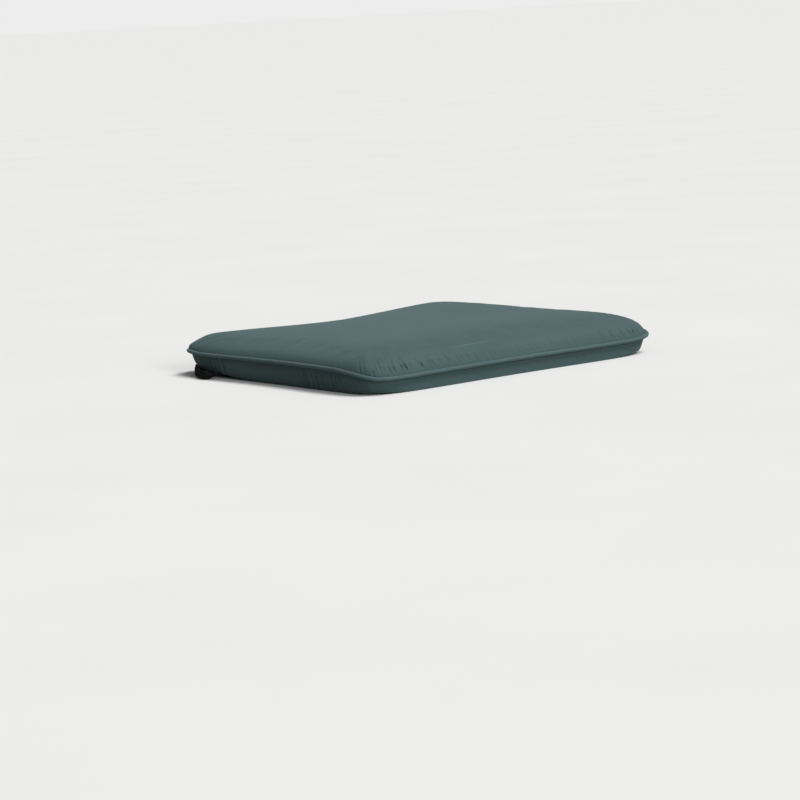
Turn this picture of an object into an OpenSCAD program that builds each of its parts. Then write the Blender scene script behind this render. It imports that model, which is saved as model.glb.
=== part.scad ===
// Boxed seat pad for a chair: a piped, zipped fabric cover over a lined foam and wadding filling,
// with a hook-and-loop strap at each rear corner. Millimetres, +Z up, front edge facing -Y,
// origin in the middle of the footprint on the face that rests on the seat.

/* [Pad] */
// Width between the piping centre lines, halfway back
pad_w = 480; // [420:2:540]
// Depth between the piping centre lines
pad_d = 436; // [400:2:480]
// Height of the crown above the seat
pad_h = 58; // [52:1:70]
// Share by which the front is wider, and the rear narrower, than the middle
front_flare = 0.028; // [0:0.002:0.04]
// How far the front and the sides pull in between the corners
side_pull = 4; // [0:0.5:6]
// Squareness of the corners at the piping, as the exponent of the outline
squareness = 12; // [10:1:14]
// Squareness of the corners at the lower seam
foot_squareness = 7; // [6:0.5:10]

/* [Crown] */
// Flatness of the top, as the exponent of the distance from the middle
crown_flatness = 6; // [4:0.5:8]
// Steepness of the crown at the piping
crown_steepness = 2.2; // [1.8:0.1:2.6]

/* [Piping] */
// Diameter of the finished piping
piping_d = 7; // [6:0.5:8]
// Diameter of the filler cord inside it
piping_cord_d = 5.2; // [4.4:0.1:5.4]
// Mean height of the piping above the seat
piping_mid_z = 24.5; // [23:0.5:28]
// How far the piping rises at the sides and drops at the front and rear
piping_wave = 3.5; // [0:0.5:4]
// How far the piping is lower along the front than along the rear
piping_front_drop = 4; // [0:0.5:4]

/* [Cover] */
// Thickness of the cover fabric
fabric_t = 0.8; // [0.5:0.1:1]
// How far the lower edge of the boxing tucks in under its upper edge
boxing_tuck = 7; // [5:0.5:8]

/* [Filling] */
// Thickness of the liner fabric
liner_t = 0.4; // [0.3:0.1:0.5]
// Thickness of the upper wadding
wadding_top_t = 8; // [5:0.5:9]
// Thickness of the lower wadding
wadding_bottom_t = 4; // [3:0.5:5]

/* [Zip] */
// Half of the length of the zip chain
zip_half = 148; // [120:1:150]
// Height of the zip's centre line above the seat
zip_z = 11.3; // [11:0.1:12]
// Half of the length of the two fabric strips that carry the zip
zip_strip_half = 160; // [155:1:165]
// Length of the pull tab
pull_len = 20; // [16:1:22]

/* [Straps] */
// Width of the webbing
webbing_w = 12; // [10:0.5:12]
// Thickness of the webbing
webbing_t = 1.2; // [1:0.1:1.4]
// Distance of the closed strap's inner face behind the pad's centre
strap_y = 213.5; // [213:0.5:216]
// Radius of the strap's bend round the rear corner
strap_bend_r = 36; // [32:1:38]
// Angle by which the strap leans away from the side
strap_lean = 26; // [20:1:28]

/* [Hidden] */

$fn = 32;
gap = 0.3;                              // clearance between neighbouring pieces
stations = 60;                          // cross-sections round the outline
corner_bias = 9;                        // degrees by which stations crowd towards the corners
side_seam_t = 152.5;                     // outline angle of the seam that joins the corner boxing
seam_half = 0.9;                        // half of the slot that holds the piping's flange
boxing_in = 4;                          // distance of the boxing's upper edge inside the piping line
liner_in = 10;                          // distance of the liner inside the piping line
wadding_in = 13;                        // distance of the upper wadding inside the piping line
foam_in = 16;                           // distance of the foam inside the piping line
rear_sag = 0.3;                         // sag of the rear outline over the zip's length
piping_r = piping_d / 2;
rear_z = piping_z(90);                  // height of the piping in the middle of the rear
liner_z = fabric_t + gap;
wadding_z = liner_z + liner_t + gap;
foam_z = wadding_z + wadding_bottom_t + gap;
wadding_top_drop = fabric_t + liner_t + 3 * gap;
foam_drop = wadding_top_drop + wadding_top_t + gap;

// zip, measured from its centre line
chain_gap = 0.6;                        // half of the gap that the slider's post runs in
coil_w = 2.4;
coil_t = 2;
tape_t = 0.5;
tape_end = 6;                           // tape beyond each end of the chain
tape_y = pad_d / 2 - rear_sag - boxing_inset(zip_z, rear_z) - fabric_t - gap - tape_t;
coil_y = tape_y + tape_t + 0.1;
strip_half_gap = 4.2;                   // half of the slot between the two strips
slider_x = zip_half - 6;                // where the slider rests with the zip closed
slider_len = 11;
slider_half_h = 3.8;
slider_plate_t = 1.2;
pull_y = coil_y + coil_t + 4.7;         // hinge axis of the pull tab
pull_bar_r = 0.7;

// straps, for the left corner; the right corner mirrors it
strap_z = 0.4;                          // clearance of the webbing's lower edge over the seat
patch_t = 0.9;
bend_centre = [-189, strap_y - strap_bend_r];
bend_end = 180 - strap_lean;            // where the bend turns into the straight run beside the pad
loop_run = 48;                          // straight run of the inner tail
hook_start = 4;                         // free end of the outer tail, along the same run
hook_run_end = 54;                      // where the outer tail starts to turn in
hook_arc_r = 11;                        // inner radius of that turn
hook_arc = 116;                         // degrees that it turns
hook_in = strap_bend_r + webbing_t + 2 * patch_t + gap; // inner face of the outer tail, from the bend's centre
foot_w = webbing_w;
foot_z = 0.5;
loop_foot_x = 189;                      // middle of the inner tail's sewn end
hook_foot_y = 130;                      // middle of the outer tail's sewn end
hook_foot_x = 237;                      // outer edge of the outer tail's sewn end
foot_reach = 10.8;                      // how far the sewn ends show outside the lower seam

fabric = [0.29, 0.39, 0.39];
lining = [0.86, 0.86, 0.84];

// ---------- outline and heights ----------

// Point of a unit superellipse at the outline angle t
function unit_point(t, power = squareness) =
    let (r = pow(pow(abs(cos(t)), power) + pow(abs(sin(t)), power), -1 / power))
    [r * cos(t), r * sin(t)];

// How far the outline pulls in at angle t: fully in the middle of the front and the sides, not at the rear
function pull_in(t) = sin(t) > sin(45) ? 0 : side_pull * pow(cos(2 * t), 2);

// Outline in plan, moved in by inset: the piping's centre line when inset is 0
function inner_outline(t, inset, power = squareness) =
    let (u = unit_point(t, power),
         half_w = pad_w / 2 * (1 - front_flare * u.y),
         on_side = abs(cos(t)) > abs(sin(t)),
         fade = 6)                      // makes the inset act across each edge and not along it
    [(half_w - (on_side ? pull_in(t) : 0)) * u.x - inset * sign(u.x) * pow(abs(u.x), fade),
     (pad_d / 2 - (on_side ? 0 : pull_in(t))) * u.y - inset * sign(u.y) * pow(abs(u.y), fade)];

function outline(t) = inner_outline(t, 0);

// Outward direction of the outline at angle t
function outward(t) =
    let (step = 0.5, d = outline(t + step) - outline(t - step))
    [d.y, -d.x] / norm(d);

// Height of the piping round the outline
function piping_z(t) = piping_mid_z + piping_wave * cos(2 * t) + piping_front_drop / 2 * sin(t);

// How far the boxing stands inside the piping line at height z, as a quarter ellipse
function boxing_inset(z, top) = boxing_in + boxing_tuck * (1 - sqrt(max(0, 1 - pow(1 - z / top, 2))));

// Outline angle of station i, crowded towards the corners
function station_t(i, count = stations) = let (t = 360 * i / count) t + corner_bias * sin(4 * t);

station_list = [for (i = [0:stations - 1]) station_t(i)];

// One ring of the crown: share s of the way out, from an edge at the given inset, lowered by drop
function crown_ring(s, inset, drop) =
    [for (t = station_list)
        let (p = s * inner_outline(t, inset),
             edge = piping_z(t) + seam_half,
             rise = pow(1 - pow(s, crown_flatness), 1 / crown_steepness))
        [p.x, p.y, edge + (pad_h - drop - edge) * rise]];

// Rings of the crown from the middle to the edge
crown_shares = [0.35, 0.6, 0.76, 0.87, 0.94, 0.98, 1];
function crown(inset, drop) = [for (s = crown_shares) crown_ring(s, inset, drop)];

// A level outline inside the lower seam
function foot_outline(inset) = [for (t = station_list) inner_outline(t, inset, foot_squareness)];

function reversed(list) = [for (i = [len(list) - 1:-1:0]) list[i]];
function middle(ring) = [for (k = [0:2]) [for (p = ring) p[k]] * [for (p = ring) 1] / len(ring)];
function joined(lists) = [for (l = lists) each l];

// ---------- building blocks ----------

// Triangles between ring i and the next, each of n points
function band_faces(i, next, n) =
    [for (j = [0:n - 1]) let (k = (j + 1) % n)
        each [[i * n + j, next * n + j, next * n + k], [i * n + j, next * n + k, i * n + k]]];

// Closed solid through a chain of rings, ending in a point at each end
module ring_solid(rings) {
    n = len(rings[0]);
    m = len(rings);
    points = concat(joined(rings), [middle(rings[0]), middle(rings[m - 1])]);
    polyhedron(points, concat(
        joined([for (i = [0:m - 2]) band_faces(i, i + 1, n)]),
        [for (j = [0:n - 1]) [m * n, j, (j + 1) % n]],
        [for (j = [0:n - 1]) [m * n + 1, (m - 1) * n + (j + 1) % n, (m - 1) * n + j]]));
}

// Closed loop of cross-sections, such as a tube that runs all the way round
module loop_solid(sections) {
    n = len(sections[0]);
    m = len(sections);
    polyhedron(joined(sections), joined([for (i = [0:m - 1]) band_faces(i, (i + 1) % m, n)]));
}

// Bent sheet through cross-sections, each an outer profile followed by the inner one reversed
module sheet_solid(sections) {
    n = len(sections[0]);
    m = len(sections);
    last = (m - 1) * n;
    polyhedron(joined(sections), concat(
        joined([for (i = [0:m - 2]) band_faces(i, i + 1, n)]),
        [for (k = [0:n / 2 - 2]) each [[k, k + 1, n - 2 - k], [k, n - 2 - k, n - 1 - k]]],
        [for (k = [0:n / 2 - 2]) each [[last + k, last + n - 2 - k, last + k + 1],
                                       [last + k, last + n - 1 - k, last + n - 2 - k]]]));
}

// Cross-section of the boxing at outline angle t
boxing_levels = [0, 0.08, 0.22, 0.42, 0.68, 1];
function boxing_point(t, level, depth, low = 0) =
    let (top = piping_z(t), z = max(low, level * (top - seam_half)),
         power = foot_squareness + level * (squareness - foot_squareness),
         p = inner_outline(t, boxing_inset(z, top) + depth, power))
    [p.x, p.y, z];
function boxing_section(t) =
    concat([for (l = boxing_levels) boxing_point(t, l, 0)],
           [for (l = reversed(boxing_levels)) boxing_point(t, l, fabric_t)]);

// Boxing fabric from outline angle t0 to t1
module boxing(t0, t1, steps) {
    sheet_solid([for (i = [0:steps]) boxing_section(t0 + (t1 - t0) * i / steps)]);
}

// Tube round the outline: each cross-section point is [outwards, upwards] from the piping line
module round_the_outline(section) {
    loop_solid([for (t = station_list)
        [for (p = section) concat(outline(t) + p.x * outward(t), [piping_z(t) + p.y])]]);
}

// Rear boxing profile between two heights, moved in by depth, as [y, z] points
function rear_profile(z0, z1, depth) =
    [for (i = [0:5]) let (z = z0 + (z1 - z0) * i / 5)
        [pad_d / 2 - rear_sag - boxing_inset(z, rear_z) - depth, z]];

// Straight strip along X with the rear boxing's profile
module rear_strip(z0, z1, depth, thickness, half_len) {
    translate([-half_len, 0, 0]) rotate([90, 0, 90])
        linear_extrude(2 * half_len)
            polygon(concat(rear_profile(z0, z1, depth), reversed(rear_profile(z0, z1, depth + thickness))));
}

// Both corners' copies of a piece that is drawn for the left corner
module at_side(side) {
    if (side == "left") children();
    else mirror([1, 0, 0]) children();
}

// ---------- cover ----------

module top_panel() {
    color(fabric)
        ring_solid(concat(crown(boxing_in, 0), reversed(crown(boxing_in + fabric_t, fabric_t))));
}

module bottom_panel() {
    inset = boxing_in + boxing_tuck + fabric_t + gap;
    color(fabric)
        linear_extrude(fabric_t)
            polygon(foot_outline(inset));
}

module side_band() {
    color(fabric) boxing(side_seam_t, 540 - side_seam_t, 56);
}

// From the end of the zip strips round the corner to the seam in the side
module corner_band(side) {
    seam_slot = 0.15;
    zip_end_t = 180 - atan(pad_w / 2 * (1 - front_flare) / (zip_strip_half + 2));
    color(fabric) at_side(side) boxing(zip_end_t, side_seam_t - seam_slot, 12);
}

module zip_strip_upper() {
    color(fabric) rear_strip(zip_z + strip_half_gap, rear_z - seam_half, 0, fabric_t, zip_strip_half);
}

module zip_strip_lower() {
    color(fabric) rear_strip(0, zip_z - strip_half_gap, 0, fabric_t, zip_strip_half);
}

// Fabric wrapped round the cord, with its two edges lying together as a sewn flange
module piping_cover() {
    wall = 0.5;
    flange_in = 8.6;
    lip = 14;                           // degrees from the flange to the start of each arc
    arc = [for (i = [0:8]) 180 - lip - i * (360 - 2 * lip) / 8];
    section = concat(
        [[-flange_in, wall + 0.05]],
        [for (a = arc) piping_r * [cos(a), sin(a)]],
        [[-flange_in, -wall - 0.05], [-flange_in, -0.05]],
        [for (a = reversed(arc)) (piping_r - wall) * [cos(a), 0.98 * sin(a)]],
        [[-flange_in, 0.05]]);
    color(fabric) round_the_outline(section);
}

module piping_cord() {
    sides = 8;
    color("ivory")
        round_the_outline([for (i = [0:sides - 1]) piping_cord_d / 2 * [cos(-360 * i / sides), sin(-360 * i / sides)]]);
}

// ---------- filling ----------

module liner_top() {
    drop = fabric_t + gap;
    color(lining)
        ring_solid(concat(crown(liner_in, drop), reversed(crown(liner_in + liner_t, drop + liner_t))));
}

// Ring of the lower liner at a level of the boxing, on its outer or its inner face
function liner_side_ring(level, depth) =
    [for (t = station_list) boxing_point(t, level, liner_in - boxing_in + depth, liner_z + depth)];

module liner_bottom() {
    levels = [0, 0.3, 0.6, 1];
    color(lining)
        ring_solid(concat([for (l = levels) liner_side_ring(l, liner_t)],
                          [for (l = reversed(levels)) liner_side_ring(l, 0)]));
}

module wadding_top() {
    color("white")
        ring_solid(concat(crown(wadding_in, wadding_top_drop),
                          reversed(crown(wadding_in + 2, wadding_top_drop + wadding_top_t))));
}

module wadding_bottom() {
    inset = liner_in + boxing_tuck + 4;
    color("white") translate([0, 0, wadding_z])
        linear_extrude(wadding_bottom_t)
            polygon(foot_outline(inset));
}

module foam_core() {
    foot = [for (p = foot_outline(foam_in + boxing_tuck)) concat(p, [foam_z])];
    color("khaki") ring_solid(concat(crown(foam_in, foam_drop), [foot]));
}

// ---------- zip ----------

// The upper tape hangs straight, and the lower one follows the boxing as it tucks in
module zip_tape_upper() {
    low = zip_z + chain_gap + 0.1;
    high = rear_z - seam_half - 0.6;
    color("darkslategray") translate([-zip_half - tape_end, tape_y, low])
        cube([2 * (zip_half + tape_end), tape_t, high - low]);
}

module zip_tape_lower() {
    color("darkslategray")
        rear_strip(2.4, zip_z - chain_gap - 0.1, fabric_t + gap, tape_t, zip_half + tape_end);
}

module coil_bar(z0) {
    color("dimgray") translate([-zip_half, coil_y, z0]) cube([2 * zip_half, coil_t, coil_w]);
}

module zip_coil_upper() coil_bar(zip_z + chain_gap);

module zip_coil_lower() coil_bar(zip_z - chain_gap - coil_w);

module zip_stops() {
    stop_len = 2;
    color("silver")
        for (x = [-zip_half - stop_len - 0.1, zip_half + 0.1])
            translate([x, coil_y, zip_z - chain_gap - coil_w]) cube([stop_len, coil_t, 2 * (coil_w + chain_gap)]);
}

module zip_slider() {
    plate_y = coil_y + coil_t + gap;
    flange_t = 0.6;
    back_y = tape_y - 1.3;
    back_half_h = 3;
    post_half = 0.35;
    cheek_half = 1.6;                   // half of the space between the two cheeks of the bridge
    cheek_t = 0.8;
    color("dimgray") translate([slider_x, 0, zip_z]) {
        translate([-slider_len / 2, plate_y, -slider_half_h]) cube([slider_len, slider_plate_t, 2 * slider_half_h]);
        for (z = [-slider_half_h, slider_half_h - flange_t])
            translate([-slider_len / 2, coil_y + 0.3, z]) cube([slider_len, coil_t + 0.2, flange_t]);
        translate([-slider_len / 2, back_y - slider_plate_t, -back_half_h])
            cube([slider_len, slider_plate_t, 2 * back_half_h]);
        translate([slider_len / 2 - 2, back_y - slider_plate_t / 2, -post_half])
            cube([2, plate_y - back_y + slider_plate_t, 2 * post_half]);
        for (z = [-cheek_half - cheek_t, cheek_half]) {
            translate([-1.3, plate_y + slider_plate_t - 0.2, z])
                cube([2.6, pull_y - plate_y - slider_plate_t + 0.2, cheek_t]);
            translate([0, pull_y, z]) cylinder(h = cheek_t, r = 1.3);
        }
        translate([0, pull_y, -cheek_half - 0.1]) cylinder(h = 2 * cheek_half + 0.2, r = pull_bar_r);
    }
}

module zip_pull() {
    eye_r = 1.7;
    eye_half = 1.2;
    tab_half_w = 2.6;
    tab_half_t = 0.6;
    neck_len = 4;
    color("dimgray") translate([slider_x, pull_y, zip_z]) difference() {
        union() {
            translate([0, 0, -eye_half]) cylinder(h = 2 * eye_half, r = eye_r);
            translate([-neck_len - 1, -tab_half_t, -eye_half]) cube([neck_len + 1, 2 * tab_half_t, 2 * eye_half]);
            rotate([90, 0, 0]) translate([0, 0, -tab_half_t]) linear_extrude(2 * tab_half_t) {
                translate([-pull_len + tab_half_w, -tab_half_w])
                    square([pull_len - tab_half_w - neck_len, 2 * tab_half_w]);
                translate([-pull_len + tab_half_w, 0]) circle(tab_half_w);
            }
        }
        translate([0, 0, -eye_half - 1]) cylinder(h = 2 * eye_half + 2, r = pull_bar_r + 0.15);
        rotate([90, 0, 0]) translate([-pull_len + tab_half_w, 0, -tab_half_t - 1])
            cylinder(h = 2 * tab_half_t + 2, r = 1.1);
    }
}

// ---------- straps ----------

// Upright webbing bent to part of a ring, starting at an angle, about the local origin
module webbing_bend(inner_r, start, sweep) {
    translate([0, 0, strap_z]) rotate(start)
        rotate_extrude(angle = sweep, $fn = 64) translate([inner_r, 0]) square([webbing_t, webbing_w]);
}

// Upright webbing along the local Y axis
module webbing_run(inner_x, y0, y1) {
    translate([inner_x, y0, strap_z]) cube([webbing_t, y1 - y0, webbing_w]);
}

// Frame at the end of the bend: X away from the pad, Y forwards along the strap
module at_bend_end(side) {
    at_side(side) translate(bend_centre) rotate(bend_end) children();
}

// Inner tail: sewn in at the rear, round the corner and forwards along the side
module loop_tail(side) {
    foot_top_y = strap_y + webbing_t / 2;
    color([0.07, 0.08, 0.08]) {
        at_bend_end(side) {
            webbing_bend(strap_bend_r, 90 - bend_end, bend_end - 90);
            webbing_run(strap_bend_r, 0, loop_run);
        }
        at_side(side) translate([-loop_foot_x - foot_w / 2, foot_top_y - foot_reach + 3, foot_z])
            cube([foot_w, foot_reach - 3, webbing_t]);
    }
}

module loop_patch(side) {
    patch_l = 36;
    color([0.12, 0.13, 0.13]) at_bend_end(side)
        translate([strap_bend_r + webbing_t, loop_run - patch_l - 3, strap_z + 1])
            cube([patch_t, patch_l, webbing_w - 2]);
}

// Sewn end of the outer tail, flat in the bottom seam
module hook_root(side) {
    color([0.07, 0.08, 0.08]) at_side(side)
        translate([-hook_foot_x, hook_foot_y - foot_w / 2, foot_z]) cube([foot_reach, foot_w, webbing_t]);
}

// Outer tail: from its sewn end out to the side and back over the inner tail
module hook_tail(side) {
    color([0.07, 0.08, 0.08]) at_bend_end(side) {
        webbing_run(hook_in, hook_start, hook_run_end);
        translate([hook_in - hook_arc_r, hook_run_end]) webbing_bend(hook_arc_r, 0, hook_arc);
    }
}

module hook_patch(side) {
    patch_l = 32;
    color([0.12, 0.13, 0.13]) at_bend_end(side)
        translate([hook_in - patch_t, hook_start + 6, strap_z + 1]) cube([patch_t, patch_l, webbing_w - 2]);
}

// Short dense rows of thread that hold the sewn ends
module bar_tacks() {
    tack_l = 9;
    tack_w = 1.6;
    tack_t = 0.5;
    tack_in = 4;                        // from the outer end of each sewn end
    tack_z = foot_z + webbing_t;
    color("black") for (side = ["left", "right"]) at_side(side) {
        translate([-hook_foot_x + tack_in, hook_foot_y - tack_l / 2, tack_z]) cube([tack_w, tack_l, tack_t]);
        translate([-loop_foot_x - tack_l / 2, strap_y - tack_in, tack_z]) cube([tack_l, tack_w, tack_t]);
    }
}

top_panel();
bottom_panel();
side_band();
corner_band("left");  // left_corner_band
corner_band("right");  // right_corner_band
zip_strip_upper();
zip_strip_lower();
piping_cover();
piping_cord();
liner_top();
liner_bottom();
wadding_top();
wadding_bottom();
foam_core();
zip_tape_upper();
zip_tape_lower();
zip_coil_upper();
zip_coil_lower();
zip_stops();
zip_slider();
zip_pull();
loop_tail("left");  // left_loop_tail
loop_patch("left");  // left_loop_patch
hook_root("left");  // left_hook_root
hook_tail("left");  // left_hook_tail
hook_patch("left");  // left_hook_patch
loop_tail("right");  // right_loop_tail
loop_patch("right");  // right_loop_patch
hook_root("right");  // right_hook_root
hook_tail("right");  // right_hook_tail
hook_patch("right");  // right_hook_patch
bar_tacks();
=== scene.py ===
import math

import bpy
import numpy as np
from mathutils import Matrix, Vector


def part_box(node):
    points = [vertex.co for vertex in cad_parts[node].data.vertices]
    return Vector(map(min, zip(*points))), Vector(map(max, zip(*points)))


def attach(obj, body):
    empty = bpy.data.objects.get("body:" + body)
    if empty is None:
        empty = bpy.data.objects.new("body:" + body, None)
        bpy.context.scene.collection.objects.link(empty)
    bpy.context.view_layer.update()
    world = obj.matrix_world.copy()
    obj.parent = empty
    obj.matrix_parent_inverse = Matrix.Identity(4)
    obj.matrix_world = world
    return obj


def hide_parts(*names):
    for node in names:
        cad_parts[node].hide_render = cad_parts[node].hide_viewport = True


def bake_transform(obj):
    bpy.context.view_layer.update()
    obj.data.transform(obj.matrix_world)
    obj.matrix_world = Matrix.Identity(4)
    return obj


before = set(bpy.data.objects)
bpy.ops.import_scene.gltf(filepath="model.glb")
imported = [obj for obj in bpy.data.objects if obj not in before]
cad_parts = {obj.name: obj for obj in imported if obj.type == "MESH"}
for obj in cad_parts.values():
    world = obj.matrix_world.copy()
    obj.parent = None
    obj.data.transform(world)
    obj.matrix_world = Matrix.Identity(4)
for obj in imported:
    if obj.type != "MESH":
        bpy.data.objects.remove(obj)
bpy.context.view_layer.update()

# ---------- Foam core ----------
# A block of cut polyurethane foam, domed on top and tapered towards the rear, loose inside the liner.
# Its form is the pad's form moved in, so the plan, the height of the piping and the crown are set here.

mm = 0.001
half_width = 240.7 * mm          # to the piping's centre line, halfway back
half_depth = 218.3 * mm
front_flare = 0.028              # share by which the front is wider than the middle
side_pull = 4 * mm               # how far the front and the sides draw in between the corners
corner_power = 11                # squareness of the corners at the piping
foot_power = 8.5                 # and along the lower seam
crown_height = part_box("top_panel")[1].z
side_z, front_z, rear_z = 31.3 * mm, 20.7 * mm, 23 * mm  # height of the piping in the middle of each edge
rear_lift = 7 * mm               # how much higher the piping is at the rear corners
front_left_lift, front_right_lift = -2.9 * mm, 0.3 * mm
crown_flatness = 6.4
crown_steepness = 2.5
# The filling is uneven: two dips near the middle of the rear edge, and swellings at the left rear corner and
# on the right. Each is given by its place, its half sizes and its height, in millimetres.
unevenness = ((5, 205, 110, 80, -5.5), (-60, 195, 90, 80, -2.5), (-208, 185, 26, 55, 3.2),
              (185, 70, 70, 140, 3))
rear_foot_lift = 15 * mm         # how far the lower seam lifts off the seat at the rear corners
front_left_foot_lift, front_right_foot_lift = 2 * mm, 4 * mm
seam_in = 3.6 * mm               # the boxing's seam lies this far inside the piping's centre line
seam_half = 0.9 * mm             # half of the piping's flange
tuck_side, tuck_front, tuck_rear = 7.5 * mm, 0.8 * mm, 7 * mm  # how far the boxing tucks in below
front_side_tuck = 0.35           # share of the side's tuck that is left at the front corners
fabric_t = 0.8 * mm


def unit_points(angle, power=corner_power):
    """Points of a unit superellipse: (cos, sin) divided by the power-norm of (cos, sin)."""
    c, s = np.cos(angle), np.sin(angle)
    size = (np.abs(c) ** power + np.abs(s) ** power) ** (1 / power)
    return c / size, s / size


def plan(ux, uy, inset_side=0.0, inset_end=0.0):
    """Outline in plan at unit points: half sizes with flare and pull, less the inset times the 6th power
    of the unit coordinate, so that it acts across each edge and dies out along it."""
    double_cos = (ux**2 - uy**2) / np.maximum(ux**2 + uy**2, 1e-12)
    pull = side_pull * double_cos**2
    pull_x = np.where(np.abs(ux) > np.abs(uy), pull, 0)
    pull_y = np.where((np.abs(ux) <= np.abs(uy)) & (uy < 0), pull, 0)
    fade = 6
    x = (half_width * (1 - front_flare * uy) - pull_x) * ux - inset_side * np.sign(ux) * np.abs(ux) ** fade
    y = (half_depth - pull_y) * uy - inset_end * np.sign(uy) * np.abs(uy) ** fade
    return x, y


def seam_height(ux, uy):
    """Height of the piping: the side's, with 6th-power dips towards the front and the rear, and an 8th-power
    bump at each corner that is 1 on the diagonal."""
    dips = (front_z - side_z) * np.clip(-uy, 0, 1) ** 6 + (rear_z - side_z) * np.clip(uy, 0, 1) ** 6
    corner = (2 ** (2 / corner_power) * np.abs(ux * uy)) ** 8
    front_lift = np.where(ux < 0, front_left_lift, front_right_lift)
    return side_z + dips + corner * np.where(uy < 0, front_lift, rear_lift)


def foot_height(ux, uy, share):
    """Height of the pad's underside: flat on the seat, curling up towards each corner by the 10th power of
    the share of the way out. At the front the corner is an 8th-power bump; at the rear it is a square that
    grows along the side and dies out by |ux|^6 along the rear."""
    front = np.minimum((2 ** (2 / foot_power) * np.abs(ux * uy)) ** 8, 1)
    front = front * np.where(ux < 0, front_left_foot_lift, front_right_foot_lift)
    rear = np.abs(ux) ** 6 * (0.05 + 0.96 * np.clip(uy, -0.05, 1)) ** 2 * rear_foot_lift
    return np.where(uy < 0, np.maximum(front, np.where(uy > -0.05, rear, 0)), rear) * share**10


def crown_shares(half, drop, spacing):
    """Shares of the way out, from 0 to 1, at even arc length along the crown's cross-section, on which
    share^flatness + rise^steepness = 1. Returns the shares and their arc lengths."""
    turn = np.linspace(0, math.pi / 2, 20001)
    share = np.sin(turn) ** (2 / crown_flatness)
    rise = np.cos(turn) ** (2 / crown_steepness)
    steps = np.hypot(half * np.diff(share), drop * np.diff(rise))
    arc = np.concatenate([[0], np.cumsum(steps)])
    count = 2 * round(arc[-1] / spacing / 2)
    even = np.linspace(0, arc[-1], count + 1)
    return np.interp(even, arc, share), even


def square_to_outline(across, back, power=corner_power):
    """A square grid drawn in to the superellipse: each point's share of the way out is the greater of its two
    coordinates, and its unit point is the grid point over its power-norm."""
    u, v = np.meshgrid(across, back)
    size = np.maximum((np.abs(u) ** power + np.abs(v) ** power) ** (1 / power), 1e-9)
    return np.maximum(np.abs(u), np.abs(v)), u / size, v / size


def both_ways(values):
    """Values from the middle outwards, mirrored to run from edge to edge."""
    return np.concatenate([-values[:0:-1], values])


def crown_grid(spacing, inset=seam_in, top=crown_height, flatness=crown_flatness, steepness=crown_steepness):
    """Crown as a grid: from the seam's height at the edge to the top in the middle, by
    (1 - share^flatness)^(1/steepness), with Gaussian unevenness of the top. Also returns the grid's flat
    coordinates and its unit points."""
    share_x, arc_x = crown_shares(half_width - inset, top - side_z, spacing)
    share_y, arc_y = crown_shares(half_depth - inset, top - side_z, spacing)
    share, ux, uy = square_to_outline(both_ways(share_x), both_ways(share_y))
    x, y = plan(ux, uy, inset, inset)
    edge = seam_height(ux, uy) + seam_half
    rise = np.clip(1 - share**flatness, 0, 1) ** (1 / steepness)
    x, y = share * x, share * y
    for middle_x, middle_y, half_x, half_y, height in unevenness:
        hill = np.exp(-((x / mm - middle_x) / half_x) ** 2 - ((y / mm - middle_y) / half_y) ** 2)
        top = top + height * mm * hill
    points = np.stack([x, y, edge + (top - edge) * rise], -1)
    flat = np.stack(np.meshgrid(both_ways(arc_x), both_ways(arc_y)), -1)
    return points, flat, ux, uy


def tucks(uy):
    """How far the boxing tucks in across the sides, less by the 4th power towards the front, and across the
    front or the rear."""
    at_side = tuck_side * (1 - (1 - front_side_tuck) * np.clip(-uy, 0, 1) ** 4)
    return at_side, np.where(uy < 0, tuck_front, tuck_rear)


def boxing_inset(level, tuck):
    """Distance inside the piping line at a share of the boxing's height, as a quarter ellipse."""
    return seam_in + tuck * (1 - np.sqrt(np.clip(1 - (1 - level) ** 2, 0, 1)))


def boxing_grid(angle, level):
    """Boxing as a grid of outline angles by shares of its height: the outline at each height has its own
    inset, and its corners get rounder towards the lower seam."""
    level, angle = np.meshgrid(level, angle, indexing="ij")
    ux, uy = unit_points(angle, foot_power + level * (corner_power - foot_power))
    top_ux, top_uy = unit_points(angle)
    x, y = plan(ux, uy, *(boxing_inset(level, tuck) for tuck in tucks(uy)))
    top = seam_height(top_ux, top_uy) - seam_half
    foot = foot_height(*unit_points(angle, foot_power), 1.0)
    return np.stack([x, y, foot + level * (top - foot)], -1)


def even_angles(start, end, spacing):
    """Outline angles from start to end, in degrees, at an even distance along the piping line, and their
    distances from the start."""
    fine = np.radians(np.linspace(start, end, 6001))
    x, y = plan(*unit_points(fine))
    along = np.concatenate([[0], np.cumsum(np.hypot(np.diff(x), np.diff(y)))])
    even = np.linspace(0, along[-1], 2 * round(along[-1] / spacing / 2) + 1)
    return np.interp(even, along, fine), even


def normals(points, wrap=False):
    """Unit normals of a grid, across its columns and then its rows."""
    if wrap:
        padded = np.concatenate([points[:, -1:], points, points[:, :1]], 1)
        along = np.gradient(padded, axis=1)[:, 1:-1]
    else:
        along = np.gradient(points, axis=1)
    up = np.gradient(points, axis=0)
    n = np.cross(along, up)
    return n / np.maximum(np.linalg.norm(n, axis=-1, keepdims=True), 1e-12)


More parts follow.
